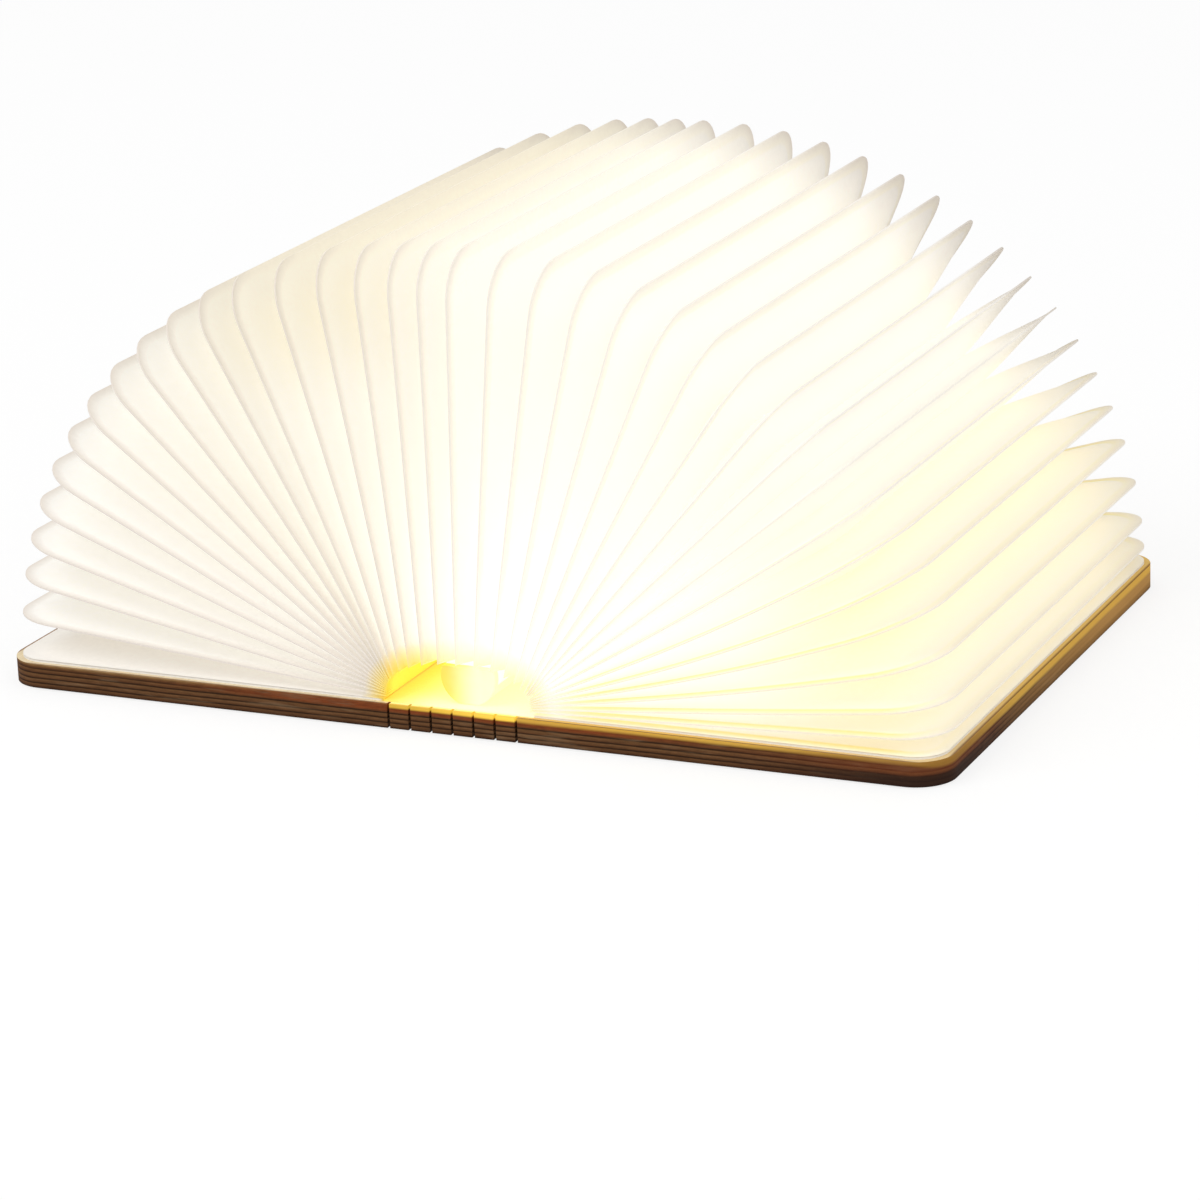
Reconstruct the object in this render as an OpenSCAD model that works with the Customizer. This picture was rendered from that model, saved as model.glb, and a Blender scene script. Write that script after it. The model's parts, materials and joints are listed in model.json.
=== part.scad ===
// Folding book lamp, lying open: two wooden covers on a slatted wooden spine,
// a fan of paper leaves between them and a light bar inside the spine.
// X runs across the open covers, Y along the spine and Z up.
// The origin is under the middle of the spine, on the surface it lies on.

/* [Covers] */
// Length of the covers along the spine
cover_h = 122; // [90:1:220]
// Width of each cover, from the spine to its fore edge
cover_w = 78; // [60:1:170]
// Thickness of the plywood
board_t = 4.5; // [3:0.1:7]
// Radius of the two outer corners of each cover
cover_corner_r = 7; // [3:0.5:15]
// Thickness of the paper glued inside each cover
endsheet_t = 0.3; // [0.2:0.05:0.4]
// Wood left bare around the glued paper
endsheet_border = 1.2; // [0.5:0.1:4]

/* [Spine] */
// Distance from one saw cut of the spine to the next
slat_pitch = 4.1; // [3.8:0.1:6]
// Width of each saw cut
kerf_w = 0.5; // [0.3:0.05:0.8]
// Thickness of the fabric that the slats fold on
liner_t = 0.25; // [0.15:0.05:0.3]

/* [Leaves] */
// Number of leaves in the fan
leaf_count = 35; // [26:1:35]
// Thickness of a leaf, which is two sheets of paper
leaf_t = 0.16; // [0.1:0.01:0.22]
// Space between the leaves and the ends of the covers
leaf_inset = 1; // [0.5:0.1:4]
// How far the leaves stop short of the covers' fore edges
fore_inset = 0.4; // [0.2:0.1:6]
// How much lower the top of the fan is than its half width
fan_drop = 8.4; // [0:0.1:10]
// Radius of a leaf's outer corners
leaf_corner_r = 8; // [3:0.5:15]
// Angle between the right cover and the tip of the first leaf
first_tip = 2.7; // [2.5:0.1:8]
// Angle between the left cover and the tip of the last leaf
last_tip = 5.5; // [4:0.5:12]

/* [Arch] */
// How far the leaves' inner edges start from the spine's right end
arch_right = 2.3; // [1:0.1:4]
// How far the leaves' inner edges start from the spine's left end
arch_left = 0.7; // [0.6:0.1:4]
// Clear height between the light bar and the leaves above it
arch_gap = 1; // [0.9:0.1:4]
// Narrowest space between two leaves' inner edges, where they bunch up
root_gap = 0.06; // [0.05:0.01:0.2]
// Thickness of the strip that joins the leaves' inner edges
strip_t = 0.2; // [0.1:0.05:0.3]

/* [Light bar] */
// Radius of the round sides of the bar
bar_r = 5.2; // [5.1:0.1:6.4]
// Height of the bar above its adhesive tape
bar_h = 6.6; // [6.5:0.1:8.4]
// Space between the bar's ends and the ends of the covers
bar_inset = 3; // [2:0.5:10]
// Wall of the bar's tray and diffuser
bar_wall = 0.8; // [0.6:0.1:0.8]
// Thickness of the tape under the bar
tape_t = 0.2; // [0.1:0.05:0.3]
// Length of the battery
battery_l = 52; // [30:1:56]
// Number of light emitting chips
led_count = 9; // [5:1:11]

/* [Magnets] */
// Diameter of the closing magnets
magnet_d = 6; // [4:0.5:10]
// Thickness of the closing magnets
magnet_t = 1.5; // [1:0.1:2]

/* [Hidden] */
$fn = 64;
cut_count = 7;                       // saw cuts in the spine
slat_count = cut_count - 1;
spine_w = slat_count * slat_pitch;   // from the first saw cut to the last
clearance = 0.1;                     // all round a piece that drops into a pocket
eps = 0.01;                          // overlap that keeps a cut clean

// the bar stands on one of the two middle slats
bar_slat = 3;
bar_x = spine_w / 2 - (bar_slat - 0.5) * slat_pitch;
bar_z = board_t + liner_t + tape_t;  // underside of the bar
bar_centre = bar_r - 0.35;           // height of the round sides' centre above bar_z
bar_l = cover_h - 2 * bar_inset;
foot_w = 3;                          // flat foot under the bar
foot_h = 0.9;
cap_t = 1.5;                         // plate of an end cap
plug_l = 3;                          // part of an end cap inside the bar
inner_l = bar_l - 2 * (cap_t + plug_l);

// heights inside the bar, measured from bar_z
battery_w = 5;
battery_t = 2;
floor_h = trough_height(battery_w);  // the battery lies between the round walls
control_w = 7;
control_l = 24;
pcb_t = 0.6;
board_h = trough_height(control_w);  // so does the control board
ledge_h = 3.65;                      // the LED board lies here
ledge_t = 0.4;
trough_w = 2 * sqrt(pow(bar_r - bar_wall, 2) - pow(bar_centre - ledge_h, 2)); // at the ledges
led_board_w = min(2 * (bar_r - bar_wall) - 0.6, trough_w - 2 * clearance);
ledge_w = led_board_w / 2 - 0.25;    // half the space between the two ledges
led_w = 2.8;
led_l = 3.5;
led_t = 0.7;
sensor_w = 1.6;
sensor_l = 3;
sensor_t = 0.6;
usb_w = 7.5;
usb_h = 2.5;
usb_l = 5.5;
usb_wall = 0.3;
usb_z = board_h + pcb_t;             // the socket stands on the control board
tongue_w = 4;
tongue_t = 0.6;

// the leaves' inner edges follow a low arch over the bar
arch_x_right = spine_w / 2 + arch_right;
arch_x_left = -spine_w / 2 - arch_left;
arch_x = (arch_x_right + arch_x_left) / 2;
arch_a = (arch_x_right - arch_x_left) / 2;
arch_z = board_t + endsheet_t + 0.35;
arch_full = 0.7;                     // 1 is an ellipse, and less is fuller at the shoulders
strip_gap = 0.15;                    // between the strip and the leaves' inner edges
strip_inset = strip_gap + strip_t;
// the arch clears the bar's top, and the strip under it clears the shoulder of a wide bar
bar_top = bar_z + bar_h;
shoulder_x = bar_x + sqrt(pow(bar_r, 2) - pow(bar_h - bar_centre, 2)) - arch_x;
shoulder_share = pow(1 - pow(shoulder_x / (arch_a - strip_inset), 2), arch_full / 2);
shoulder_b = (bar_top + clearance / 2 - arch_z) / shoulder_share + strip_inset;
arch_b = max(bar_top + arch_gap - arch_z, shoulder_b);
// share of the leaves spread evenly over the arch, so that they clear each other at its ends
arch_even = leaf_count * (leaf_t + root_gap) / (PI * arch_b);
arch_spread = 0.4;                   // share of the fan that opens over the arch's top
strip_steps = 40;
endsheet_gap = 0.4;                  // between the glued paper and the leaves' first fold

// the leaves' tips follow a wide half round over the covers, counted from a point in the spine
fan_z = board_t - 0.5;
fan_square = 1.45;                   // 2 is close to an ellipse, and less has fuller sides
fan_reach = spine_w / 2 + cover_w - fore_inset;
fan_rise = fan_reach - fan_drop;
// where the leaves bunch up or spread, as [from leaf, to leaf, swing in degrees],
// counted as on a fan of full_count leaves
full_count = 35;
fan_waves = [[1, 18.5, -4], [1, 3.5, -1.2], [18, 24, -2.8], [24.5, 34.5, 1.3]];

// magnets sit in pockets in the covers' inner faces
pocket_d = magnet_t + clearance;
magnet_x = cover_w - 12;             // from the spine
magnet_y = cover_h / 2 - 14;
switch_d = 3;                        // magnet that tells the sensor the lamp is shut
switch_x = 6;
sensor_y = bar_l / 2 - plug_l - cap_t - 16;

wood = [0.86, 0.70, 0.47];
wood_edge = [0.70, 0.50, 0.30];
paper = [0.97, 0.95, 0.90];
glow = [1.0, 0.88, 0.45];
white = [0.93, 0.93, 0.92];
green = [0.10, 0.42, 0.26];
steel = [0.72, 0.73, 0.75];

// height above the bar's underside at which a piece of this width meets the round trough
function trough_height(w) =
    bar_centre - sqrt(pow(bar_r - bar_wall, 2) - pow(w / 2, 2)) + clearance;

function two_digits(i) = str(i < 10 ? "0" : "", i);
function leaf_name(i) = str("leaf_", two_digits(i));
function slat_name(i) = str("spine_slat_", i);

// ---- the fan's geometry ----

function smooth(x) = let (c = min(max(x, 0), 1)) c * c * (3 - 2 * c);

// place of a leaf on a fan of full_count leaves
function fan_place(i) = 1 + (i - 1) * (full_count - 1) / (leaf_count - 1);
function wave(p, w) = p > w[0] && p < w[1] ? w[2] * sin(180 * (p - w[0]) / (w[1] - w[0])) : 0;
function waves(p, k = 0) = k < len(fan_waves) ? wave(p, fan_waves[k]) + waves(p, k + 1) : 0;

// angle of a leaf's tip, seen from fan_z in the middle of the spine
function tip_angle(i) =
    first_tip + (i - 1) * (180 - first_tip - last_tip) / (leaf_count - 1) + waves(fan_place(i));
function tip(i) =
    let (
        a = tip_angle(i),
        reach = fan_rise + (fan_reach - fan_rise) * pow(abs(cos(a)), fan_square)
    )
    [reach * cos(a), fan_z + reach * sin(a)];

// a leaf's inner edge, on the arch
function arch_angle(i) =
    let (share = (i - 0.5) / leaf_count)
    180 * (arch_even * share + (1 - arch_even) * smooth((share - 0.5) / arch_spread + 0.5));
function arch_point(angle, inset = 0) = [
    arch_x + (arch_a - inset) * cos(angle),
    arch_z + (arch_b - inset) * pow(max(sin(angle), 0), arch_full)
];
function leaf_root(i) = arch_point(arch_angle(i));
function leaf_length(i) = norm(tip(i) - leaf_root(i));
function leaf_angle(i) = let (d = tip(i) - leaf_root(i)) atan2(d[1], d[0]);

// ---- shapes used more than once ----

// rectangle from x = 0 to x = w, centred on the X axis, with its far corners rounded
module far_rounded(w, h, r) {
    translate([0, -h / 2]) square([w - r, h]);
    translate([0, -h / 2 + r]) square([w, h - 2 * r]);
    for (side = [-1, 1]) translate([w - r, side * (h / 2 - r)]) circle(r = r);
}

// block centred on Y, given by its width, length and height above the bar's underside
module in_bar(w, l, t, h, y = 0) {
    translate([bar_x - w / 2, y - l / 2, bar_z + h]) cube([w, l, t]);
}

// cross-section of the bar, set in from its outside, between two heights
module bar_section(inset, low, high) {
    intersection() {
        translate([0, bar_centre]) circle(r = bar_r - inset);
        translate([-bar_r, low]) square([2 * bar_r, high - low]);
    }
}

// a cross-section of the bar run along the spine
module along_bar(l, y = 0) {
    translate([bar_x, y, bar_z]) rotate([90, 0, 0]) linear_extrude(l, center = true) children();
}

module magnet_places(gap) {
    for (side = [-1, 1])
        translate([magnet_x, side * magnet_y, board_t - pocket_d])
            cylinder(d = magnet_d + 2 * gap, h = gap > 0 ? pocket_d + eps : magnet_t);
}

module switch_place(gap) {
    translate([switch_x, sensor_y, board_t - pocket_d])
        cylinder(d = switch_d + 2 * gap, h = gap > 0 ? pocket_d + eps : magnet_t);
}

// puts a cover's piece on the right side or, mirrored, on the left
module on_side(side) {
    if (side > 0) translate([spine_w / 2, 0, 0]) children();
    else mirror([1, 0, 0]) translate([spine_w / 2, 0, 0]) children();
}

// ---- covers ----

module cover_board() {
    intersection() {
        linear_extrude(board_t) far_rounded(cover_w, cover_h, cover_corner_r);
        translate([kerf_w / 2, -cover_h, -eps]) cube([cover_w, 2 * cover_h, board_t + 2 * eps]);
    }
}

module cover_right() {
    color(wood) on_side(1) difference() {
        cover_board();
        magnet_places(clearance);
    }
}

module cover_left() {
    color(wood) on_side(-1) difference() {
        cover_board();
        magnet_places(clearance);
        switch_place(clearance);
    }
}

// paper glued inside a cover, from just outside the leaves' first fold
module endsheet(start) {
    w = cover_w - endsheet_border - start;
    translate([start, 0, board_t]) linear_extrude(endsheet_t)
        far_rounded(w, cover_h - 2 * endsheet_border, cover_corner_r - endsheet_border);
}

module endsheet_right() {
    color(paper) on_side(1) endsheet(arch_right + endsheet_gap);
}

module endsheet_left() {
    color(paper) on_side(-1) endsheet(arch_left + endsheet_gap);
}

module magnets_right() {
    color(steel) on_side(1) magnet_places(0);
}

module magnets_left() {
    color(steel) on_side(-1) magnet_places(0);
}

module switch_magnet() {
    color(steel) on_side(-1) switch_place(0);
}

// ---- spine ----

// slats are counted from the right cover
module spine_slat(i) {
    color(wood_edge)
        translate([spine_w / 2 - i * slat_pitch + kerf_w / 2, -cover_h / 2, 0])
            cube([slat_pitch - kerf_w, cover_h, board_t]);
}

module spine_liner() {
    margin = 0.1; // past the feet of the leaves' strip
    l = cover_h - 2 * leaf_inset;
    color(white)
        translate([arch_x_left - margin, -l / 2, board_t])
            cube([arch_x_right - arch_x_left + 2 * margin, l, liner_t]);
}

// ---- leaves ----

module leaf(i) {
    root = leaf_root(i);
    color(paper)
        translate([root[0], 0, root[1]]) rotate([0, -leaf_angle(i), 0])
            translate([0, 0, -leaf_t / 2]) linear_extrude(leaf_t)
                far_rounded(leaf_length(i), cover_h - 2 * leaf_inset, leaf_corner_r);
}

// arched strip that joins the inner edges of all the leaves, with its feet on the liner
module leaf_strip() {
    angles = [for (k = [0:strip_steps]) 180 * k / strip_steps];
    far = [for (a = angles) arch_point(a, strip_gap)];
    near = [for (k = [strip_steps:-1:0]) arch_point(angles[k], strip_inset)];
    foot_z = board_t + liner_t;
    outline = concat(
        [[far[0][0], foot_z]], far, [[far[strip_steps][0], foot_z]],
        [[near[0][0], foot_z]], near, [[near[strip_steps][0], foot_z]]
    );
    color(glow) rotate([90, 0, 0])
        linear_extrude(cover_h - 2 * (leaf_inset + endsheet_border), center = true)
            polygon(outline);
}

// ---- light bar ----

module bar_tape() {
    color(steel) in_bar(foot_w - 2 * clearance, bar_l - 4, tape_t, -tape_t);
}

// tray with a flat foot, a round trough and two ledges for the LED board
module bar_tray() {
    color(white) along_bar(bar_l - 2 * cap_t) {
        difference() {
            union() {
                bar_section(0, 0, ledge_h);
                translate([-foot_w / 2, 0]) square([foot_w, foot_h]);
            }
            bar_section(bar_wall, foot_h, bar_h);
        }
        difference() {
            bar_section(bar_wall / 2, ledge_h - ledge_t, ledge_h);
            translate([-ledge_w, 0]) square([2 * ledge_w, bar_h]);
        }
    }
}

module bar_diffuser() {
    color(glow) along_bar(bar_l - 2 * cap_t) difference() {
        bar_section(0, ledge_h, bar_h);
        bar_section(bar_wall, 0, bar_h - bar_wall);
    }
}

// plate over the bar's end, with a plug that fits inside the tray and diffuser
module bar_cap(side) {
    along_bar(cap_t, side * (bar_l - cap_t) / 2) {
        bar_section(0, 0, bar_h);
        translate([-foot_w / 2, 0]) square([foot_w, foot_h]);
    }
    along_bar(plug_l + eps, side * (bar_l / 2 - cap_t - plug_l / 2)) difference() {
        bar_section(bar_wall + clearance, foot_h + clearance, bar_h - bar_wall - clearance);
        // room for the ledges
        for (half = [-1, 1])
            translate([half * (ledge_w + bar_r / 2), ledge_h - ledge_t / 2])
                square([bar_r + 2 * clearance, ledge_t + 2 * clearance], center = true);
    }
}

// a plain cap at the front, and one with the socket's opening at the back
module bar_caps() {
    color(white) bar_cap(-1);
    color(white) difference() {
        bar_cap(1);
        in_bar(usb_w + 2 * clearance, 2 * (cap_t + plug_l) + 1, usb_h + 2 * clearance,
            usb_z - clearance, bar_l / 2);
    }
}

module led_board() {
    color(green) in_bar(led_board_w, inner_l - 4, pcb_t, ledge_h, -1.5);
}

module led_chips() {
    pitch = (inner_l - 12) / (led_count - 1);
    color(glow) for (k = [0:led_count - 1])
        in_bar(led_w, led_l, led_t, ledge_h + pcb_t, (k - (led_count - 1) / 2) * pitch - 1.5);
}

module battery() {
    color(steel) in_bar(battery_w, battery_l, battery_t, floor_h, (battery_l - inner_l) / 2 + 2);
}

// the control board reaches to the bar's back end, under the socket
module control_board() {
    color(green) in_bar(control_w, control_l, pcb_t, board_h, (inner_l - control_l) / 2 - clearance);
}

module switch_sensor() {
    color([0.1, 0.1, 0.1]) in_bar(sensor_w, sensor_l, sensor_t, board_h + pcb_t, sensor_y);
}

// socket shell with its tongue
module usb_socket() {
    y = (bar_l - usb_l) / 2;
    color(steel) {
        difference() {
            in_bar(usb_w, usb_l, usb_h, usb_z, y);
            in_bar(usb_w - 2 * usb_wall, usb_l, usb_h - 2 * usb_wall, usb_z + usb_wall, y + 1);
        }
        in_bar(tongue_w, usb_l - 1, tongue_t, usb_z + (usb_h - tongue_t) / 2, y);
    }
}

// ---- what is drawn ----

cover_right();
cover_left();
for (i = [1:slat_count]) spine_slat(i);
spine_liner();
endsheet_right();
endsheet_left();
magnets_right();
magnets_left();
switch_magnet();
for (i = [1:leaf_count]) leaf(i);
leaf_strip();
bar_tape();
bar_tray();
bar_diffuser();
bar_caps();
led_board();
led_chips();
battery();
control_board();
switch_sensor();
usb_socket();
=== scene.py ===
import bpy
import json
import math
import numpy as np
from mathutils import Matrix, Vector, noise


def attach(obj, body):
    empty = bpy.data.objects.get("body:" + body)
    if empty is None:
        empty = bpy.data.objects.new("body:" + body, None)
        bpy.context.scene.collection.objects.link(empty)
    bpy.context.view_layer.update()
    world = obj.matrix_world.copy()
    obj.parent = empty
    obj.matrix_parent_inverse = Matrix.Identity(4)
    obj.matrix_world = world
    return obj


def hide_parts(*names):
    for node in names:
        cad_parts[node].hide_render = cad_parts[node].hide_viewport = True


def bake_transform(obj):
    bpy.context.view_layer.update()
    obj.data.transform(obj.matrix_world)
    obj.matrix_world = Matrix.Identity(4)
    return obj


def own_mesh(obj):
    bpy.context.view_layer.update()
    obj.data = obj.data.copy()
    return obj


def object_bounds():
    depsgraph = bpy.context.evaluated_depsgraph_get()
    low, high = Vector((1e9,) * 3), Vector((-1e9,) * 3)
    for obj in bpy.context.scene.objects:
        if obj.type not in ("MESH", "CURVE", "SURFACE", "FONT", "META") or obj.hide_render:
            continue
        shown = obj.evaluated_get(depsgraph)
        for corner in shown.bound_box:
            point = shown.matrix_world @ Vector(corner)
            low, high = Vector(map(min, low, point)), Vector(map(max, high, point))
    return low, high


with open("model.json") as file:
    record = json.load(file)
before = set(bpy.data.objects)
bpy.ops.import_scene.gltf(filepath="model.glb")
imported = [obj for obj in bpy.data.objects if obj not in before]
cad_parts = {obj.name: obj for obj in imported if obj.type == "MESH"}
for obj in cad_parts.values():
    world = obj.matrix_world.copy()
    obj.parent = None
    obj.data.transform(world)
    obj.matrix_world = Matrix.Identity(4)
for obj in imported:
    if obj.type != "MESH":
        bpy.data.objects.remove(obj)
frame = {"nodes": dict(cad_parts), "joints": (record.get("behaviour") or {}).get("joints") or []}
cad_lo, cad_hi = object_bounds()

MM = 0.001               # a millimetre in metres
scene = bpy.context.scene
nodes = frame["nodes"]
joints = {j["name"]: j for j in frame["joints"]}

# ---------------------------------------------------------------- sizes, in mm
def mm(v):
    """A length from the frame, which is in metres, as millimetres."""
    return round(v / MM, 3)


LEAVES = sum(n.startswith("leaf_") for n in nodes) - 1      # leaf_strip isn't a leaf
SLATS = sum(n.startswith("spine_slat_") for n in nodes)
HINGE_X = [mm(joints["fold" if k == 0 else f"fold_{k + 1}"]["pos_m"][0]) for k in range(SLATS + 1)]

BOARD_T = mm(joints["fold"]["pos_m"][2])    # the covers' plywood: the hinges lie at its inner face
SPINE = HINGE_X[0] - HINGE_X[-1]            # from the first saw cut to the last
COVER_W = mm(cad_hi[0]) - SPINE / 2
COVER_H = mm(cad_hi[1] - cad_lo[1])
BORDER = 1.2             # bare wood round the endpapers
ENDPAPER_T = 0.3
END_Z = BOARD_T + ENDPAPER_T + 0.06     # the end sheets lie just above the endpapers

HALF_Y = 60.0            # half the leaves' height along the spine
LEAF_R = 8.0             # the leaves' rounded outer corners
END_R = 5.8              # the same on the end sheets
END_ROOT_R = 3.0         # from the outer saw cut to the inner edge of the right end sheet
END_ROOT_L = 1.2         # the same on the left
DEPTH = 15.0             # from a fold's outer edge in to the valley beside it
ROOT_DEPTH = 3.5         # the valleys are shallow where the folds meet the spine
ROOT_REACH = 38.0        # distance from the spine at which they are at full depth
VALLEY_R = 5.0           # rounded corners of the valleys
FLANGE = 1.9             # glued edge of a fold
FLANGE_R = 0.7           # how much the corner's radius shrinks with each mm of it
PAPER_T = 0.09           # thickness of the paper
HALF_T = 0.11            # half the two glued sheets
ROOT_T = 0.05            # the same at the spine, where the folds crowd
ROOT_T_REACH = 20.0      # distance from the spine at which they are at full thickness

LOOSE_LEAF = 5           # the folds round this one hang loose at the front
LOOSE_SPREAD = 2.6       # number of folds to either side over which that dies away
SAG = 1.6                # how far the loosest one droops
WIDE_R = 7.0             # how much larger its front corner's radius is

SIDE_STEPS = (0.05, 0.12, 0.3, 0.5, 0.7, 0.88, 1.0)     # rows of points from the glued edge to the valley
HOLLOW = 1.25            # power that makes a side hug its own leaf near the outer edge
PUFF = 0.10              # how far a side bulges, as a share of the gap
RIPPLE = 0.35            # height of the paper's unevenness
RIPPLE_ACROSS, RIPPLE_ALONG = 0.045, 0.03       # how often it comes in a mm, across the spine and along it
RIPPLE_SHIFT = 3.1       # makes it different on each side of each fold
LEFT_SEED, END_SEED = 50, 90    # added to a fold's number on its left side, and on the end sheets
SHARP = 35               # degrees between two faces, from which their edge is sharp
WEB_COLUMNS = 25         # points along the inner fold
WEB_BORDER = 0.5         # it stops this far short of the leaves' ends
STRIP_FOLD = 17          # the fold whose piece also stands for the strip that joins them all

LINING_T = 0.25          # the cloth on the inside of the spine
LINING_HALF = 60.0       # half its length
LINING_REACH = SPINE / SLATS / 2    # to the middle of a slat, on either side of a saw cut
LINING_GRID = (15, 9)    # points across and along a strip of it

BAR = (2.05, 8.5)        # the light bar's centre, as (x, z)
FAN_Z = 4                # height of the point that the fan's angles are taken from
NEAR_TIP, NEAR_ROOT = 0.5, 0.3      # corners of a leaf that are this close to its tip or root are averaged


def fade(v, start, end):
    """0 up to start and 1 from end on, with soft ends. end may be the smaller of the two."""
    t = np.clip((v - start) / (end - start), 0, 1)
    return t * t * (3 - 2 * t)


# ---------------------------------------------------------------- node helpers
class Shade:
    """A material's node tree, with one short call for each kind of node."""

    def __init__(self, name, **socket):
        self.m = bpy.data.materials.new(name)
        self.m.use_nodes = True
        self.t = self.m.node_tree
        self.b = self.t.nodes["Principled BSDF"]
        for k, v in socket.items():
            self.b.inputs[k.replace("_", " ")].default_value = v

    def node(self, kind, inputs=(), **props):
        n = self.t.nodes.new("ShaderNode" + kind)
        for k, v in props.items():
            setattr(n, k, v)
        for k, v in dict(inputs).items():
            self.put(n.inputs[k], v)
        return n

    def put(self, socket, v):
        """Link a node's output to a socket, or set the socket to a value."""
        if isinstance(v, bpy.types.NodeSocket):
            self.t.links.new(v, socket)
        else:
            if socket.type == "RGBA" and len(v) == 3:
                v = (*v, 1)
            socket.default_value = v

    def place(self, kind="Object"):
        return self.node("TexCoord").outputs[kind]

    def scaled(self, v, scale):
        return self.node("Mapping", {"Vector": v, "Scale": scale}).outputs[0]

    def noise(self, v, scale, detail=3.0, rough=0.5, dist=0.0):
        n = self.node("TexNoise", {"Vector": v, "Scale": scale, "Detail": detail, "Roughness": rough,
                                   "Distortion": dist})
        return n.outputs["Fac"]

    def math(self, op, *values):
        n = self.node("Math", operation=op)
        for s, v in zip(n.inputs, values):
            self.put(s, v)
        return n.outputs[0]

    def times(self, a, b):
        return self.math("MULTIPLY", a, b)

    def range(self, v, a, b, lo=0.0, hi=1.0, smooth=False):
        n = self.node("MapRange", {"Value": v, "From Min": a, "From Max": b, "To Min": lo, "To Max": hi})
        n.interpolation_type = "SMOOTHSTEP" if smooth else "LINEAR"
        return n.outputs[0]

    def mix(self, f, a, b):
        n = self.node("Mix", data_type="RGBA")
        factor, first, second = n.inputs[0], n.inputs[6], n.inputs[7]
        self.put(factor, f)
        self.put(first, a)
        self.put(second, b)
        return n.outputs[2]

    def ramp(self, f, *stops):
        n = self.node("ValToRGB", {"Fac": f})
        e = n.color_ramp.elements
        while len(e) < len(stops):
            e.new(0.5)
        for el, (p, c) in zip(e, stops):
            el.position, el.color = p, (*c, 1)
        return n.outputs[0]

    def xyz(self, v):
        return self.node("SeparateXYZ", {0: v}).outputs

    def attr(self, name):
        return self.node("Attribute", attribute_name=name).outputs["Fac"]

    def bump(self, h, dist, strength=1.0):
        n = self.node("Bump", {"Height": h, "Distance": dist, "Strength": strength})
        self.put(self.b.inputs["Normal"], n.outputs[0])

    def base(self, c):
        self.put(self.b.inputs["Base Color"], c)

    def emit(self, c, s):
        self.put(self.b.inputs["Emission Color"], c)
        self.put(self.b.inputs["Emission Strength"], s)


# ---------------------------------------------------------------- paper
PAPER_LOW, PAPER_HIGH = (0.895, 0.880, 0.850), (0.940, 0.925, 0.890)
PAPER_CLOUD = (0.90, 0.875, 0.840)
# painted yellowish light and cream shade
PAPER_WARM_LIGHT_AND_SHADE = (0.95, 0.875, 0.65)
# the edge line's colour, also used for painted shade
PAPER_EDGE_AND_SHADE = (0.72, 0.645, 0.575)
# painted golden light from the arch
PAPER_GOLDEN_LIGHT = (0.93, 0.74, 0.12)
LIGHT_PLAIN, LIGHT_WARM, LIGHT_GOLD = (1.0, 0.98, 0.92), (1.0, 0.90, 0.60), (1.0, 0.86, 0.16)
FOOT_X, FOOT_Z = (0.0138, 0.0146), (0.0049, 0.0052)     # painted golden light on the left endpaper's inner edge, in metres


def paper_material(name):
    """Thin plastic paper: fine fibres, and the lamp's light that shines through it, painted on as emission and
    colour.
    The meshes say how strong that painted light and shade is at each point, in attributes: glow, yellowish light and
    cream shade, the edge line with painted shade, and the arch's golden light."""
    s = Shade(name, Roughness=0.62, Specular_IOR_Level=0.2)
    p = s.place()
    fibre = s.noise(p, 900, 4, 0.65, 0.6)
    cloud = s.noise(p, 70, 3, 0.5)
    glow, warm_light_and_shade, rim, golden_light = (s.attr(k) for k in ("glow", "warm_light_and_shade", "rim", "golden_light"))
    x, _, z = s.xyz(p)
    # painted golden light on the left endpaper's inner edge
    foot = s.times(s.range(s.math("ABSOLUTE", x), *FOOT_X, 1.0, 0.0), s.range(z, *FOOT_Z, 1.0, 0.0))
    golden_light = s.math("MAXIMUM", golden_light, foot)
    white = s.mix(s.range(fibre, 0.3, 0.7), PAPER_LOW, PAPER_HIGH)
    white = s.mix(s.range(cloud, 0.3, 0.75, 0, 0.25), white, PAPER_CLOUD)
    # painted yellowish light and cream shade in the colour
    white = s.mix(warm_light_and_shade, white, PAPER_WARM_LIGHT_AND_SHADE)
    # the edge line's colour, also carrying painted shade at the back tips, along the roof and in the end sheets'
    # valleys
    white = s.mix(s.times(rim, 0.8), white, PAPER_EDGE_AND_SHADE)
    s.base(s.mix(golden_light, white, PAPER_GOLDEN_LIGHT))
    # painted light: the emission stands for the lamp shining through the paper
    light = s.mix(golden_light, s.mix(warm_light_and_shade, LIGHT_PLAIN, LIGHT_WARM), LIGHT_GOLD)
    s.emit(light, s.times(glow, s.range(fibre, 0.2, 0.8, 0.93, 1.07)))
    s.bump(s.math("ADD", s.times(fibre, 0.12), cloud), 0.0003, 0.25)
    return s.m


# ---------------------------------------------------------------- wood
MAPLE_LIGHT, MAPLE_DARK = (0.91, 0.80, 0.57), (0.80, 0.65, 0.42)
# the first darkens the lower plies at the right cover's front corner; the second, flecks in the burnt edge
CORNER_DARK, FLECK = (0.022, 0.011, 0.008), (0.012, 0.006, 0.003)
RUDDY, CORNER_RED = (0.23, 0.055, 0.016), (0.17, 0.040, 0.013)
STREAK = (0.23, 0.15, 0.085)
# painted lamp light on the wood: amber and golden on the right cover's edge, golden on the inner face
AMBER_LIGHT, GOLDEN, GOLDEN_FACE = (0.56, 0.30, 0.085), (0.80, 0.47, 0.075), (0.82, 0.54, 0.15)
SCORCH = (0.20, 0.075, 0.022)
ARCH_LIGHT = (1.0, 0.72, 0.07)

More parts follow.
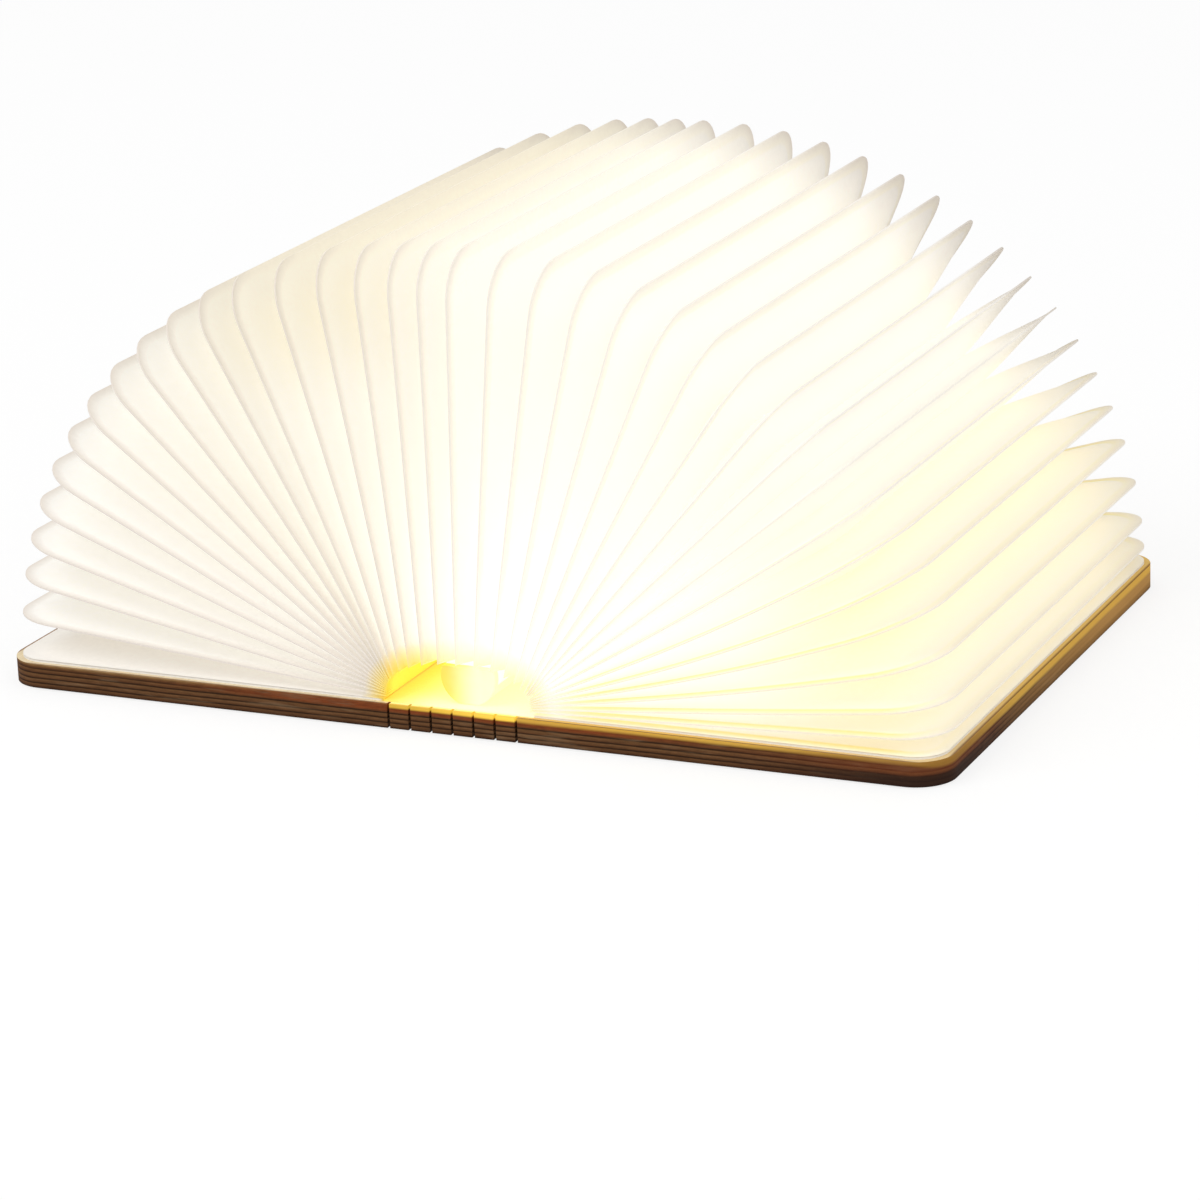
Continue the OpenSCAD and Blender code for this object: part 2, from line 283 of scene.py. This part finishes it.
# the burnt edge's colour at each height, from the underside (0) to the top (1)
PLIES = ((0.00, (0.016, 0.006, 0.003)), (0.07, (0.085, 0.036, 0.015)), (0.17, (0.15, 0.068, 0.028)),
         (0.21, (0.012, 0.005, 0.003)), (0.27, (0.12, 0.053, 0.021)), (0.36, (0.19, 0.090, 0.038)),
         (0.41, (0.015, 0.006, 0.003)), (0.47, (0.13, 0.057, 0.023)), (0.57, (0.17, 0.080, 0.032)),
         (0.62, (0.012, 0.005, 0.003)), (0.67, (0.11, 0.046, 0.018)), (0.76, (0.17, 0.075, 0.029)),
         (0.80, (0.04, 0.016, 0.007)), (0.87, (0.13, 0.054, 0.020)), (0.95, (0.24, 0.12, 0.045)),
         (1.00, (0.46, 0.30, 0.13)))

# stretches of the wood that look different, in metres
LIT_X = (-0.012, 0.014)                                 # the arch's painted light reaches the wood's edge from here on
CORNER_X, CORNER_Y = (0.045, 0.085), (-0.055, -0.015)   # the right cover's dark front corner
RUDDY_X = (0.026, 0.062)                                # the top ply is ruddy near the spine
FORE_X = (0.084, 0.090)                                 # the right cover's fore edge
AMBER_X, AMBER_Y = (0.084, 0.0895), (-0.035, 0.030)     # and the stretch of it with painted amber light
INSIDE_Z = (0.004, 0.0043)                              # the covers' inner face
EDGE_BAND = (-0.0007, -0.0001)                          # the faces are scorched this close to a cut


def veneer(s, p):
    """Maple grain along the spine."""
    wave = s.noise(s.scaled(p, (1.0, 0.12, 1.0)), 38, 3, 0.5, 0.4)
    fine = s.noise(s.scaled(p, (1.0, 0.028, 1.0)), 900, 5, 0.6, 0.25)
    pore = s.noise(s.scaled(p, (1.0, 0.05, 1.0)), 2600, 2, 0.5)
    c = s.mix(s.range(wave, 0.3, 0.72), MAPLE_LIGHT, MAPLE_DARK)
    c = s.mix(s.range(fine, 0.35, 0.7, 0.0, 0.55), c, tuple(v * 0.80 for v in MAPLE_DARK))
    return s.mix(s.range(pore, 0.62, 0.75, 0.0, 0.35), c, tuple(v * 0.6 for v in MAPLE_DARK)), fine


def burnt_edge(s, p, h, golden, corner):
    """The plies that a laser cut shows, with the lamp's light painted on the right cover's edge. h is the height in
    the board, 0 to 1. It gives the edge's colour and the flecks in it."""
    x, y, _ = s.xyz(p)
    ruddy = s.times(s.range(s.math("ABSOLUTE", x), *RUDDY_X, 1.0, 0.0, True),
                    s.range(h, 0.64, 0.74, 0.0, 0.85, True))
    edge = s.mix(ruddy, s.ramp(h, *PLIES), RUDDY)
    fleck = s.noise(s.scaled(p, (1.0, 1.0, 7.0)), 420, 4, 0.7)
    edge = s.mix(s.range(fleck, 0.4, 0.75, 0.0, 0.45), edge, FLECK)
    streak = s.noise(s.scaled(p, (0.35, 0.35, 5.0)), 260, 3, 0.6)
    edge = s.mix(s.range(streak, 0.55, 0.75, 0.0, 0.5), edge, STREAK)
    # the dark front corner of the right cover
    red = s.times(s.range(h, 0.30, 0.60, 0.35, 1.0, True), corner)
    edge = s.mix(s.times(red, 0.9), edge, CORNER_RED)
    black = s.times(s.range(h, 0.35, 0.55, 1.0, 0.0, True), corner)
    edge = s.mix(s.times(black, 1.35), edge, CORNER_DARK)
    # painted amber light on its fore edge, and painted golden light on its upper plies
    amber = s.times(s.range(x, *AMBER_X, 0.0, 0.85, True), s.range(y, *AMBER_Y))
    edge = s.mix(s.times(amber, s.range(h, 0.0, 0.35, 0.35, 1.0)), edge, AMBER_LIGHT)
    fore = s.range(x, *FORE_X, 0.0, 0.16, True)
    upper = s.times(s.range(s.math("ADD", h, fore), 0.78, 0.96, 0.0, 1.0, True), golden)
    return s.mix(s.times(upper, 0.85), edge, GOLDEN), fleck


def ply_material(name, lit=False):
    """Thin plywood cut by laser: pale veneer faces, and burnt edges that show the plies. The lamp's light is
    painted on: it turns the right cover's edge and inner face golden, and lights the slats' inner edge where lit is
    true."""
    s = Shade(name, Roughness=0.7, Specular_IOR_Level=0.06)
    p = s.place()
    x, y, z = s.xyz(p)
    face, fine = veneer(s, p)
    upright = s.math("ABSOLUTE", s.xyz(s.place("Normal"))[2])
    side = s.range(upright, 0.3, 0.6, 1.0, 0.0)
    corner = s.times(s.range(x, *CORNER_X, 0.0, 0.65, True), s.range(y, *CORNER_Y, 1.0, 0.0, True))
    golden = s.times(s.range(x, *LIT_X, 0.0, 1.0, True), s.math("SUBTRACT", 1.0, corner))
    uneven = s.math("SUBTRACT", s.noise(s.scaled(p, (1, 1, 4)), 45, 3), 0.5)
    h = s.math("DIVIDE", s.math("ADD", z, s.times(uneven, 0.0005)), BOARD_T * MM)
    edge, fleck = burnt_edge(s, p, h, golden, corner)
    past_x = s.math("SUBTRACT", s.math("ABSOLUTE", x), (SPINE / 2 + COVER_W) * MM)
    past_y = s.math("SUBTRACT", s.math("ABSOLUTE", y), COVER_H / 2 * MM)
    burn = s.range(s.math("MAXIMUM", past_x, past_y), *EDGE_BAND, 0.0, 0.85, True)
    # painted golden light on the covers' inner face, where the lamp reaches
    inside = s.times(golden, s.range(z, *INSIDE_Z))
    face = s.mix(s.times(inside, 0.92), face, GOLDEN_FACE)
    face = s.mix(burn, face, SCORCH)
    s.base(s.mix(side, face, edge))
    if lit:
        s.emit((*ARCH_LIGHT, 1), s.range(h, 0.80, 0.90, 0.0, 0.55, True))
    s.bump(s.mix(side, fine, fleck), 0.00012, 0.5)
    return s.m


# ---------------------------------------------------------------- other materials
# the arch's painted light: the colours it gives the lining and the bar's caps and tray, then their emission
YELLOW, YELLOW_DEEP = (0.88, 0.62, 0.12), (0.80, 0.55, 0.10)
CREAM, CREAM_DEEP = (0.93, 0.90, 0.60), (0.88, 0.84, 0.54)
LIGHT_YELLOW, LIGHT_CREAM = (1.0, 0.74, 0.09), (1.0, 0.94, 0.58)


def plain(name, colour, tint, scale, rough, metal=0.0, bump=0.0, **socket):
    """A small part's material: its colour with fine mottling."""
    s = Shade(name, Roughness=rough, Metallic=metal, **socket)
    n = s.noise(s.place(), scale, 4, 0.6)
    s.base(s.mix(s.range(n, 0.3, 0.7), colour, tint))
    if bump:
        s.bump(n, bump, 0.6)
    return s


def lit_plastic(name, colour, tint, glow, strength):
    s = plain(name, colour, tint, 500, 0.4, Specular_IOR_Level=0.4)
    n = s.noise(s.place(), 160, 2)
    s.emit(glow, s.range(n, 0.3, 0.7, strength * 0.94, strength * 1.06))
    return s


def arch_material(name, left, right, scale, rough):
    """What stands in the light of the arch, with that light painted into its colour and emission: yellow on the
    left, paler to the right. left and right are where the change starts and ends, in metres."""
    s = Shade(name, Roughness=rough, Specular_IOR_Level=0.1)
    p = s.place()
    x = s.xyz(p)[0]
    fine = s.noise(p, scale, 2, 0.4)
    pale = s.range(x, left, right, 0.0, 1.0, True)
    yellow = s.mix(s.range(fine, 0.3, 0.7), YELLOW, YELLOW_DEEP)
    cream = s.mix(s.range(fine, 0.3, 0.7), CREAM, CREAM_DEEP)
    s.base(s.mix(pale, yellow, cream))
    s.emit(s.mix(pale, LIGHT_YELLOW, LIGHT_CREAM), s.range(fine, 0.2, 0.8, 0.36, 0.42))
    s.bump(fine, 0.0001, 0.4)
    return s.m


PAPER = paper_material("paper_lit")
WOOD = ply_material("burnt_ply")
WOOD_LIT = ply_material("burnt_ply_lit", lit=True)
LINER = arch_material("liner_fabric", -0.015, -0.001, 2200, 0.75)
NICKEL = plain("nickel", (0.74, 0.72, 0.68), (0.66, 0.64, 0.60), 800, 0.22, 1.0, 0.00003).m
FINISH = {
    "bar_diffuser": lit_plastic("frosted_cover", (0.93, 0.91, 0.84), (0.95, 0.94, 0.90), (1.0, 0.95, 0.62, 1), 0.7).m,
    "bar_caps": arch_material("lit_cap", -0.003, 0.0045, 500, 0.4),
    "bar_tray": arch_material("white_tray", -0.004, 0.004, 500, 0.4),
    "bar_tape": plain("foam_tape", (0.75, 0.72, 0.66), (0.62, 0.60, 0.55), 1400, 0.9, bump=0.0002).m,
    "led_board": plain("white_circuit_board", (0.90, 0.90, 0.87), (0.80, 0.81, 0.78), 700, 0.35).m,
    "led_chips": lit_plastic("led_phosphor", (0.95, 0.78, 0.25), (0.90, 0.70, 0.18), (1.0, 0.9, 0.6, 1), 2.0).m,
    "battery": plain("battery_foil", (0.70, 0.71, 0.72), (0.58, 0.59, 0.60), 300, 0.32, 0.8, 0.0002).m,
    "control_board": plain("green_circuit_board", (0.03, 0.20, 0.09), (0.02, 0.14, 0.06), 900, 0.4).m,
    "switch_sensor": plain("chip_black", (0.03, 0.03, 0.03), (0.05, 0.05, 0.05), 1200, 0.5).m,
    "usb_socket": plain("socket_steel", (0.72, 0.73, 0.75), (0.62, 0.63, 0.65), 1500, 0.3, 1.0, 0.00003).m,
    "magnets_right": NICKEL,
    "magnets_left": NICKEL,
    "switch_magnet": NICKEL,
}


def paint(name, material):
    o = nodes[name]
    o.data.materials.clear()
    o.data.materials.append(material)


for start, material in (("cover_", WOOD), ("spine_slat", WOOD_LIT), ("endsheet_", PAPER)):
    for n in nodes:
        if n.startswith(start):
            paint(n, material)
for n, material in FINISH.items():
    paint(n, material)


# ---------------------------------------------------------------- paper folds
def outline(length, half, inset, front_r, back_r, fore_n=22, side_n=26, arc_n=8):
    """A leaf's outline, from its inner edge at the front round to its inner edge at the back: points
    (reach, y). The points lie a little closer near the corners."""
    far, side = length - inset, half - inset

    def half_outline(r):
        pts = [(a, side) for a in np.linspace(0, 1, side_n) ** 0.85 * (far - r)]
        turns = [math.pi / 2 * k / arc_n for k in range(1, arc_n + 1)]
        return pts + [(far - r + r * math.sin(w), side - r + r * math.cos(w)) for w in turns]

    front = [(a, -y) for a, y in half_outline(front_r)]
    fore = [(far, y) for y in np.linspace(front_r - side, side - back_r, fore_n)[1:-1]]
    return np.array(front + fore + half_outline(back_r)[::-1])


class Leaf:
    """One fold's plane: where its inner edge is, the way it points, and its length."""

    def __init__(self, root, tip, half=HALF_Y, radius=LEAF_R, loose=0.0):
        self.r = np.array(root, float)
        d = np.array(tip, float) - self.r
        self.len = float(np.hypot(*d))
        self.u = d / self.len
        self.n = np.array([-self.u[1], self.u[0]])     # towards the next leaf
        self.sag = SAG * loose                         # how far its front side droops
        front_r, cut = radius + WIDE_R * loose, FLANGE * FLANGE_R
        self.outer = outline(self.len, half, 0, front_r, radius)
        self.flange = outline(self.len, half, FLANGE, front_r - cut, radius - cut)
        self.inner = outline(self.len, half, DEPTH, VALLEY_R, VALLEY_R)
        shallow = 1 - fade(self.inner[:, 0], 0, ROOT_REACH)
        self.inner[:, 1] += np.sign(self.inner[:, 1]) * shallow * (DEPTH - ROOT_DEPTH)

    def at(self, pts, off=0.0):
        """Points (reach, y) of this leaf, moved off its plane, as (x, y, z)."""
        droop = self.sag * np.sin(math.pi * np.clip(pts[:, 0] / self.len, 0, 1)) * fade(pts[:, 1], 0, -HALF_Y)
        q = self.r + pts[:, :1] * self.u + np.reshape(off - droop, (-1, 1)) * self.n
        return np.column_stack([q[:, 0], pts[:, 1], q[:, 1]])


def end_leaf(sign, root):
    """The sheet that is glued to a cover, lying flat. sign is 1 for the right one."""
    inner, outer = SPINE / 2 + root, SPINE / 2 + COVER_W - BORDER
    return Leaf((sign * inner, END_Z), (sign * outer, END_Z), COVER_H / 2 - BORDER, END_R)


def cad_leaf(k):
    """A leaf read from its node: its tip is the part furthest from the spine, its root the part furthest
    from the tip."""
    co = np.array([v.co for v in nodes[f"leaf_{k:02d}"].data.vertices])[:, [0, 2]] / MM
    reach = np.hypot(co[:, 0], co[:, 1] - BOARD_T)
    tip = co[reach > reach.max() - NEAR_TIP].mean(0)
    away = np.hypot(*(co - tip).T)
    loose = math.exp(-((k - LOOSE_LEAF) / LOOSE_SPREAD) ** 2)
    return Leaf(co[away > away.max() - NEAR_ROOT].mean(0), tip, loose=loose)


leaves = [end_leaf(1, END_ROOT_R), *(cad_leaf(k) for k in range(1, LEAVES + 1)), end_leaf(-1, END_ROOT_L)]


def side_rows(leaf, other, sign, seed):
    """Rows of points from a fold's outer edge in to the valley it shares with the next, as (depth, points),
    with a depth of 0 to 1."""
    valley = (leaf.at(leaf.inner) + other.at(other.inner)) / 2
    n = np.array([leaf.n[0], 0, leaf.n[1]]) * sign
    apart = ROOT_T + (HALF_T - ROOT_T) * fade(leaf.outer[:, 0], 0, ROOT_T_REACH)
    flange = leaf.at(leaf.flange, sign * apart)
    flange_depth = FLANGE / DEPTH
    rows = [(0.0, leaf.at(leaf.outer, sign * apart)), (flange_depth, flange)]
    gap = np.abs((valley - flange) @ n)
    for s in SIDE_STEPS:
        bulge = s ** HOLLOW - s + PUFF * math.sin(math.pi * s)
        p = flange * (1 - s) + valley * s + n * (gap * bulge)[:, None]
        if s < 1:
            wave = np.array([noise.noise(Vector((x * RIPPLE_ACROSS + seed * RIPPLE_SHIFT, y * RIPPLE_ALONG,
                                                 z * RIPPLE_ACROSS))) for x, y, z in p])
            swell = RIPPLE * math.sin(math.pi * s) * np.minimum(gap / 2, 1)
            p = p + n * (wave * swell)[:, None]
        rows.append((flange_depth + (1 - flange_depth) * s, p))
    return rows


def paper_light(pts, depth, reach, edge):
    """How the paper looks at each point, with the lamp's light and shade painted on by position: how strongly the
    light shows through it (glow), how much yellowish light and cream shade it has, how much of the arch's golden
    light it has, and how dark a fold's edge line and the painted shade at the back tips and roof are. It follows the
    photograph, which is brighter and yellower on the right and cream at the upper left. depth is 0 at a fold's
    outer edge and 1 in the valley, and edge is 1 where the edge line is."""
    x, y, z = pts.T
    d = np.hypot(x - BAR[0], z - BAR[1])
    angle = np.degrees(np.arctan2(z - FAN_Z, x))            # 0 on the right, 180 on the left
    # where on the fan
    far = np.clip((d - 6) / 82, 0, 1)
    right = fade(angle, 125, 50)
    low = fade(angle, 40, 10)
    upper_left = fade(angle, 90, 106) * fade(angle, 136, 116) * fade(reach, 48, 72)
    # the roof: the top of the fan, whose far side gets painted shade near its edge
    roof = fade(angle, 62, 84) * fade(angle, 132, 118) * fade(reach, 58, 72)
    roof = roof * fade(np.abs(y), HALF_Y - 2, HALF_Y - 14)
    # painted shade on the fold tips at the back
    back_tip = fade(y, 30, 58) * fade(d, 55, 85) * (1 - depth)
    back_tip = back_tip * (0.25 + 0.75 * fade(angle, 20, 36))
    outer = (1 - depth) ** 2.2 * (1 - 0.35 * roof)

    # painted light through the paper: strongest near the bar, dimmer near a fold's outer edge, at the back tips, at
    # the far left and at the upper left
    glow = 0.13 * (1 - far) ** 1.2 + 0.165 + 0.030 * right
    glow = glow * (1 - (0.52 - 0.20 * right) * outer)
    glow = glow * (1 - 0.9 * back_tip) - 0.05 * back_tip * right
    glow = glow * (1 - 0.10 * fade(angle, 164, 176)) * (1 - 0.22 * upper_left)

    # painted yellowish light, deeper in the valleys and low on the right, and painted cream shade at the upper left
    # and by the outer edges
    warm_light_and_shade = (0.08 + 0.07 * right) * depth + low * fade(d, 46, 76) * (0.18 * depth + 0.30) + 0.26 * upper_left
    warm_light_and_shade = warm_light_and_shade + (0.16 * (1 - right) + 0.10 * roof) * outer * fade(angle, 158, 136)

    # the arch's painted golden light, close to the spine
    golden_light = np.clip(1 - reach / (1.4 + 2.6 * depth), 0, 1) * fade(d, 21, 16)
    golden_light = golden_light * (0.30 + 0.70 * fade(x, 1, -12))
    if depth < FLANGE / DEPTH + 0.001:                  # painted golden light along the glued edge, strongest at the flange's inner edge
        line = fade(d, 14, 26) * fade(d, 88, 76)
        golden_light = golden_light + (0.12 * right + 0.50 * low) * line * (1.0 if depth else 0.25)

    # the edge line, with painted shade added at the back tips and along the roof
    rim = edge * (1 - 0.55 * right) * (1 - 0.75 * roof) + 0.75 * back_tip * right
    rim = rim + 0.30 * roof * fade(angle, 98, 120) * (0.4 + 0.6 * fade(y, 0, 50))
    return {k: np.clip(v, 0, 1) for k, v in (("glow", glow), ("warm_light_and_shade", warm_light_and_shade), ("golden_light", golden_light), ("rim", rim))}


def new_object(name, verts, faces, material):
    me = bpy.data.meshes.new(name)
    me.from_pydata(verts, [], faces)
    me.materials.append(material)
    o = bpy.data.objects.new(name, me)
    scene.collection.objects.link(o)
    return o


def grid_faces(rows, columns, base=0):
    """Faces of a grid of points, numbered from base row by row."""
    corners = (base + r * columns + c for r in range(rows - 1) for c in range(columns - 1))
    return [(a, a + 1, a + columns + 1, a + columns) for a in corners]


def thicken(o):
    """Give a sheet the paper's thickness."""
    m = o.modifiers.new("paper", "SOLIDIFY")
    m.thickness, m.offset = PAPER_T * MM, 0.0
    solid = bpy.data.meshes.new_from_object(o.evaluated_get(bpy.context.evaluated_depsgraph_get()))
    o.modifiers.clear()
    solid.set_sharp_from_angle(angle=math.radians(SHARP))
    old, o.data = o.data, solid
    name = old.name
    bpy.data.meshes.remove(old)
    solid.name = name


def paper_piece(name, body, *strips):
    """A piece of paper made of strips. A strip is rows of points: (depth, points, reach, edge)."""
    verts, faces, looks = [], [], []
    for strip in strips:
        faces += grid_faces(len(strip), len(strip[0][1]), len(verts))
        for depth, pts, reach, edge in strip:
            verts.extend((pts * MM).tolist())
            looks.append(paper_light(pts, depth, reach, edge))
    o = new_object(name, verts, faces, PAPER)
    for key in looks[0]:
        vals = np.concatenate([look[key] for look in looks]).astype(np.float32)
        o.data.attributes.new(key, "FLOAT", "POINT").data.foreach_set("value", vals)
    o.data.polygons.foreach_set("use_smooth", [True] * len(o.data.polygons))
    thicken(o)
    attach(o, body)
    return o


def inner_fold(leaf, below, above):
    """The strip at the spine, from the valley on one side to the valley on the other."""
    along = np.linspace(-1, 1, WEB_COLUMNS)
    creases = (((leaf.r + below.r) / 2, HALF_Y - ROOT_DEPTH),
               (leaf.r, HALF_Y - WEB_BORDER),
               ((leaf.r + above.r) / 2, HALF_Y - ROOT_DEPTH))
    return [(1.0, np.column_stack([np.full(WEB_COLUMNS, q[0]), along * half, np.full(WEB_COLUMNS, q[1])]), 0.0, 0.0)
            for q, half in creases]


def make_fold(k):
    leaf, below, above = leaves[k], leaves[k - 1], leaves[k + 1]
    right = side_rows(leaf, below, -1, k)
    left = side_rows(leaf, above, 1, k + LEFT_SEED)
    strip = [(d, p, leaf.outer[:, 0], 1.0 if d == 0 else 0.0) for d, p in right[::-1] + left]
    o = paper_piece(f"paper_fold_{k:02d}", f"leaf_{k:02d}", strip, inner_fold(leaf, below, above))
    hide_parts(f"leaf_{k:02d}")
    if k == STRIP_FOLD:
        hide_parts("leaf_strip")
    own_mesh(o)


def make_end_sheet(side, k, next_k, sign, shade):
    """The paper from a cover's endpaper in to the first valley. shade is how dark the painted shade gets there."""
    leaf, other = leaves[k], leaves[next_k]
    rows = side_rows(leaf, other, sign, k + END_SEED)
    strip = [(d, p, leaf.outer[:, 0], shade * max(d, 0.3)) for d, p in rows]
    o = paper_piece(f"paper_end_{side}", f"{side}_cover", strip)
    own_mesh(o)


for k in range(1, LEAVES + 1):
    make_fold(k)
make_end_sheet("right", 0, 1, 1, 0.2)
make_end_sheet("left", LEAVES + 1, LEAVES, -1, 1.0)


# ---------------------------------------------------------------- spine lining
def make_lining(k):
    """The strip of cloth over saw cut k, from the middle of one slat to the middle of the next."""
    at = HINGE_X[k]
    start = at + (END_ROOT_R if k == 0 else LINING_REACH)
    end = at - (END_ROOT_L if k == SLATS else LINING_REACH)
    nx, ny = LINING_GRID
    verts = [(x * MM, y * MM, z * MM) for z in (BOARD_T, BOARD_T + LINING_T)
             for y in np.linspace(-LINING_HALF, LINING_HALF, ny) for x in np.linspace(start, end, nx)]
    top = nx * ny
    faces = grid_faces(ny, nx) + [f[::-1] for f in grid_faces(ny, nx, top)]
    ring = ([i for i in range(nx)] + [j * nx + nx - 1 for j in range(1, ny)]
            + [(ny - 1) * nx + i for i in range(nx - 2, -1, -1)] + [j * nx for j in range(ny - 2, 0, -1)])
    faces += [(b, a, a + top, b + top) for a, b in zip(ring, ring[1:] + ring[:1])]
    o = new_object(f"spine_lining_{k + 1}", verts, faces, LINER)
    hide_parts("spine_liner")
    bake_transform(o)


chain = ["right_cover", *(f"slat_{k}" for k in range(1, SLATS + 1)), "left_cover"]
for k, (body, next_body) in enumerate(zip(chain, chain[1:])):
    make_lining(k)


# ---------------------------------------------------------------- floor, light and camera, in metres
FLOOR_HALF = 6.0
FLOOR_DROP = 0.0003      # keeps the floor just clear of the covers
FLOOR_GREY = (0.80, 0.80, 0.80, 1)
FLOOR_WHITE = 1.09       # the white that a camera or a reflection sees, mixed with the lit floor
FLOOR_SHARE = 0.72       # how much of it
WORLD_LIGHT = 0.72       # the sky as a light. A camera sees it white.
LIGHTS_AIM = (0, 0, 0.04)

VIEW_AZIMUTH, VIEW_ELEVATION, VIEW_ROLL = 24.419, 17.828, -2.196        # degrees
VIEW_CENTRE = (0, 0, 40)                                                # mm
VIEW_DISTANCE, VIEW_RIGHT, VIEW_UP = 829.05, 2.59, -32.48               # mm
VIEW_LENS, VIEW_SENSOR = 136.02, 36.0                                   # mm


def stage_floor():
    """A plain pale floor that takes the object's shadows."""
    r = FLOOR_HALF
    m = bpy.data.materials.new("floor_white")
    o = new_object("floor", [(-r, -r, 0), (r, -r, 0), (r, r, 0), (-r, r, 0)], [(0, 1, 2, 3)], m)
    o.location.z = -FLOOR_DROP
    m.use_nodes = True
    t = m.node_tree
    t.nodes.clear()
    out, mix, lit, white, path, seen, share = (t.nodes.new("ShaderNode" + kind) for kind in (
        "OutputMaterial", "MixShader", "BsdfDiffuse", "Emission", "LightPath", "Math", "Math"))
    seen.operation, share.operation = "MAXIMUM", "MULTIPLY"
    share.inputs[1].default_value = FLOOR_SHARE
    lit.inputs["Color"].default_value = FLOOR_GREY
    white.inputs["Strength"].default_value = FLOOR_WHITE
    for a, b in ((path.outputs["Is Camera Ray"], seen.inputs[0]),
                 (path.outputs["Is Glossy Ray"], seen.inputs[1]),
                 (seen.outputs[0], share.inputs[0]),
                 (share.outputs[0], mix.inputs[0]),
                 (lit.outputs[0], mix.inputs[1]),
                 (white.outputs[0], mix.inputs[2]),
                 (mix.outputs[0], out.inputs[0])):
        t.links.new(a, b)


def studio_world():
    """A white surround that lights the scene a little less than it shows."""
    w = bpy.data.worlds.new("studio")
    scene.world = w
    w.use_nodes = True
    t = w.node_tree
    sky = t.nodes["Background"]
    sky.inputs["Color"].default_value = (1, 1, 1, 1)
    path, seen, level = (t.nodes.new("ShaderNode" + kind) for kind in ("LightPath", "Math", "MapRange"))
    seen.operation = "MAXIMUM"
    level.inputs["To Min"].default_value = WORLD_LIGHT
    level.inputs["To Max"].default_value = 1.0
    t.links.new(path.outputs["Is Camera Ray"], seen.inputs[0])
    t.links.new(path.outputs["Is Transmission Ray"], seen.inputs[1])
    t.links.new(seen.outputs[0], level.inputs["Value"])
    t.links.new(level.outputs[0], sky.inputs["Strength"])


def softbox(name, at, size, power):
    d = bpy.data.lights.new(name, "AREA")
    d.shape, d.size, d.energy = "DISK", size, power
    o = bpy.data.objects.new(name, d)
    o.location = at
    o.rotation_mode = "QUATERNION"
    o.rotation_quaternion = (Vector(LIGHTS_AIM) - Vector(at)).to_track_quat("-Z", "Y")
    scene.collection.objects.link(o)


def photo_camera():
    """The photograph's view, fitted to the corners and edges of the open book."""
    az, el, roll = (math.radians(v) for v in (VIEW_AZIMUTH, VIEW_ELEVATION, VIEW_ROLL))
    back = Vector((math.sin(az) * math.cos(el), -math.cos(az) * math.cos(el), math.sin(el)))
    level = Vector((math.cos(az), math.sin(az), 0))
    upright = back.cross(level)
    right = level * math.cos(roll) + upright * math.sin(roll)
    up = -level * math.sin(roll) + upright * math.cos(roll)
    at = (Vector(VIEW_CENTRE) + back * VIEW_DISTANCE + right * VIEW_RIGHT + up * VIEW_UP) * MM
    d = bpy.data.cameras.new("photo_camera")
    d.sensor_width, d.lens = VIEW_SENSOR, VIEW_LENS
    d.clip_start, d.clip_end = 0.05, 30.0
    o = bpy.data.objects.new("photo_camera", d)
    o.matrix_world = Matrix([(right[i], up[i], back[i], at[i]) for i in range(3)] + [(0, 0, 0, 1)])
    scene.collection.objects.link(o)
    scene.camera = o


stage_floor()
studio_world()
softbox("key_light", (-0.7, -0.9, 1.3), 1.2, 8)
softbox("fill_light", (1.1, -0.6, 0.8), 1.0, 3)
photo_camera()
scene.view_settings.view_transform = "Standard"
